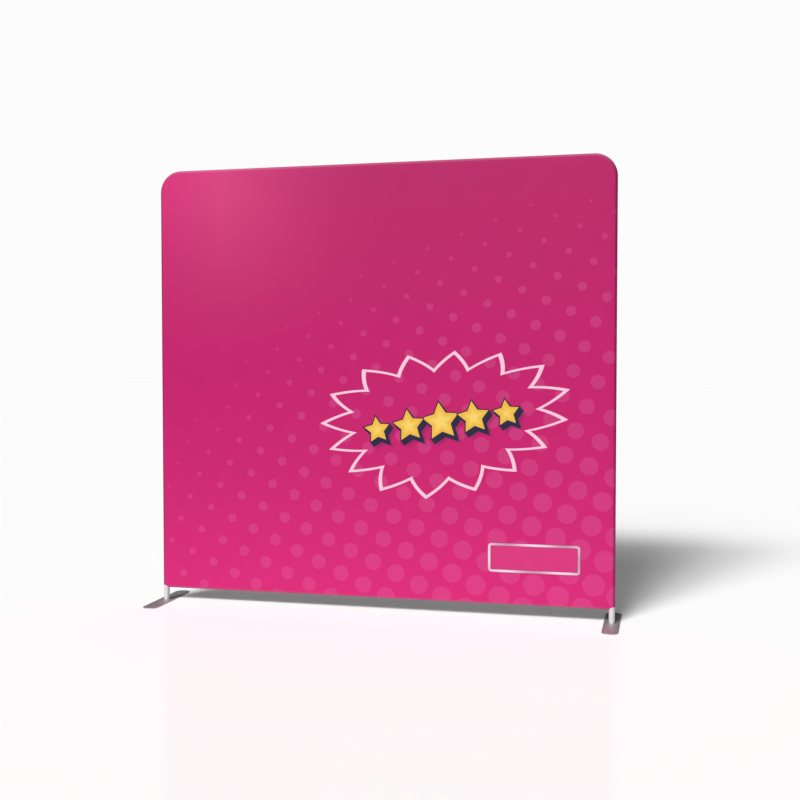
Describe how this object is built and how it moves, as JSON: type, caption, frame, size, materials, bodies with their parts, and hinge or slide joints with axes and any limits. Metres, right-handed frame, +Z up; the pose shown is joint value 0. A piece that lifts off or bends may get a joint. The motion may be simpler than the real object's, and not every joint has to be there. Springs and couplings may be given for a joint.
{
  "type": "advertising backdrop wall",
  "caption": "Straight free-standing backdrop wall: a zipped stretch fabric cover drawn over a plug-together tube frame with rounded top corners, standing on flat steel feet.",
  "frame": {"origin": "on the floor, under the middle of the wall", "axes": "+X along the wall to the right as the printed front is seen, +Y away from the viewer towards the zipped back, +Z up"},
  "size_m": [2.4482, 0.468, 2.3],
  "materials": {
    "tube_aluminium": "satin anodised",
    "zinc_steel": "zinc plated",
    "spring_steel": "smooth",
    "foot_steel": "satin",
    "black_nylon": "moulded",
    "printed_fabric": "knitted stretch polyester, printed",
    "plain_fabric": "knitted stretch polyester, white",
    "zip_tape": "woven tape with a coil chain",
    "zip_metal": "nickel plated"
  },
  "bodies": {
    "wall": {"top_rail": "tube_aluminium", "corner_tube_left": "tube_aluminium", "corner_tube_right": "tube_aluminium", "upright_middle_left": "tube_aluminium", "upright_middle_right": "tube_aluminium", "upright_lower_left": "tube_aluminium", "upright_lower_right": "tube_aluminium", "bottom_rail_left": "tube_aluminium", "bottom_rail_middle": "tube_aluminium", "bottom_rail_right": "tube_aluminium", "centre_pole_lower": "tube_aluminium", "centre_pole_middle": "tube_aluminium", "centre_pole_upper": "tube_aluminium", "spigot_top_left": "zinc_steel", "spigot_top_right": "zinc_steel", "spigot_upper_left": "zinc_steel", "spigot_upper_right": "zinc_steel", "spigot_lower_left": "zinc_steel", "spigot_lower_right": "zinc_steel", "spigot_bottom_left": "zinc_steel", "spigot_bottom_right": "zinc_steel", "spigot_pole_lower": "zinc_steel", "spigot_pole_upper": "zinc_steel", "saddle_lower": "black_nylon", "saddle_upper": "black_nylon", "front_panel": "printed_fabric", "back_panel": "plain_fabric", "zip_tape_lower": "zip_tape", "zip_tape_upper": "zip_tape"},
    "button_top_left": {"button_top_left": "spring_steel"},
    "button_top_right": {"button_top_right": "spring_steel"},
    "button_upper_left": {"button_upper_left": "spring_steel"},
    "button_upper_right": {"button_upper_right": "spring_steel"},
    "button_lower_left": {"button_lower_left": "spring_steel"},
    "button_lower_right": {"button_lower_right": "spring_steel"},
    "button_bottom_left": {"button_bottom_left": "spring_steel"},
    "button_bottom_right": {"button_bottom_right": "spring_steel"},
    "button_rail_end_left": {"button_rail_end_left": "spring_steel"},
    "button_rail_end_right": {"button_rail_end_right": "spring_steel"},
    "button_pole_lower": {"button_pole_lower": "spring_steel"},
    "button_pole_upper": {"button_pole_upper": "spring_steel"},
    "foot_left": {"foot_plate_left": "foot_steel", "foot_post_left": "zinc_steel", "foot_screw_left": "zinc_steel"},
    "foot_right": {"foot_plate_right": "foot_steel", "foot_post_right": "zinc_steel", "foot_screw_right": "zinc_steel"},
    "zip_slider": {"zip_slider": "zip_metal"},
    "zip_pull": {"zip_pull": "zip_metal"}
  },
  "joints": [
    {"name": "foot_left_turn", "type": "hinge", "parent": "wall", "child": "foot_left", "pos_m": [-1.1841, 0, 0], "axis": [0, 0, 1], "continuous": true},
    {"name": "foot_right_turn", "type": "hinge", "parent": "wall", "child": "foot_right", "pos_m": [1.1841, 0, 0], "axis": [0, 0, 1], "continuous": true},
    {"name": "zip_slide", "type": "slide", "parent": "wall", "child": "zip_slider", "axis": [-1, 0, 0], "range_m": [0, 2.2562], "deforming": ["zip_tape_lower", "zip_tape_upper"]},
    {"name": "zip_pull_turn", "type": "hinge", "parent": "zip_slider", "child": "zip_pull", "pos_m": [1.1281, 0.01895, 0.11495], "axis": [0, 0, -1], "range_deg": [0, 180]},
    {"name": "button_top_left_press", "type": "hinge", "parent": "wall", "child": "button_top_left", "pos_m": [-0.387, 0, 2.27416], "axis": [0, 1, 0], "range_deg": [0, 7], "stiffness_Nm_per_rad": 1.5, "springref_deg": -4.58},
    {"name": "button_top_right_press", "type": "hinge", "parent": "wall", "child": "button_top_right", "pos_m": [0.387, 0, 2.27416], "axis": [0, -1, 0], "range_deg": [0, 7], "stiffness_Nm_per_rad": 1.5, "springref_deg": -4.58},
    {"name": "button_upper_left_press", "type": "hinge", "parent": "wall", "child": "button_upper_left", "pos_m": [-1.17416, 0, 1.537], "axis": [0, -1, 0], "range_deg": [0, 7], "stiffness_Nm_per_rad": 1.5, "springref_deg": -4.58},
    {"name": "button_upper_right_press", "type": "hinge", "parent": "wall", "child": "button_upper_right", "pos_m": [1.17416, 0, 1.537], "axis": [0, 1, 0], "range_deg": [0, 7], "stiffness_Nm_per_rad": 1.5, "springref_deg": -4.58},
    {"name": "button_lower_left_press", "type": "hinge", "parent": "wall", "child": "button_lower_left", "pos_m": [-1.17416, 0, 0.787], "axis": [0, -1, 0], "range_deg": [0, 7], "stiffness_Nm_per_rad": 1.5, "springref_deg": -4.58},
    {"name": "button_lower_right_press", "type": "hinge", "parent": "wall", "child": "button_lower_right", "pos_m": [1.17416, 0, 0.787], "axis": [0, 1, 0], "range_deg": [0, 7], "stiffness_Nm_per_rad": 1.5, "springref_deg": -4.58},
    {"name": "button_bottom_left_press", "type": "hinge", "parent": "wall", "child": "button_bottom_left", "pos_m": [-0.387, 0, 0.09534], "axis": [0, -1, 0], "range_deg": [0, 7], "stiffness_Nm_per_rad": 1.5, "springref_deg": -4.58},
    {"name": "button_bottom_right_press", "type": "hinge", "parent": "wall", "child": "button_bottom_right", "pos_m": [0.387, 0, 0.09534], "axis": [0, 1, 0], "range_deg": [0, 7], "stiffness_Nm_per_rad": 1.5, "springref_deg": -4.58},
    {"name": "button_rail_end_left_press", "type": "hinge", "parent": "wall", "child": "button_rail_end_left", "pos_m": [-1.1621, 0, 0.09534], "axis": [0, 1, 0], "range_deg": [0, 7], "stiffness_Nm_per_rad": 1.5, "springref_deg": -4.58},
    {"name": "button_rail_end_right_press", "type": "hinge", "parent": "wall", "child": "button_rail_end_right", "pos_m": [1.1621, 0, 0.09534], "axis": [0, -1, 0], "range_deg": [0, 7], "stiffness_Nm_per_rad": 1.5, "springref_deg": -4.58},
    {"name": "button_pole_lower_press", "type": "hinge", "parent": "wall", "child": "button_pole_lower", "pos_m": [0.00761, 0, 0.837], "axis": [0, -1, 0], "range_deg": [0, 7], "stiffness_Nm_per_rad": 1.5, "springref_deg": -4.58},
    {"name": "button_pole_upper_press", "type": "hinge", "parent": "wall", "child": "button_pole_upper", "pos_m": [0.00761, 0, 1.567], "axis": [0, -1, 0], "range_deg": [0, 7], "stiffness_Nm_per_rad": 1.5, "springref_deg": -4.58}
  ]
}
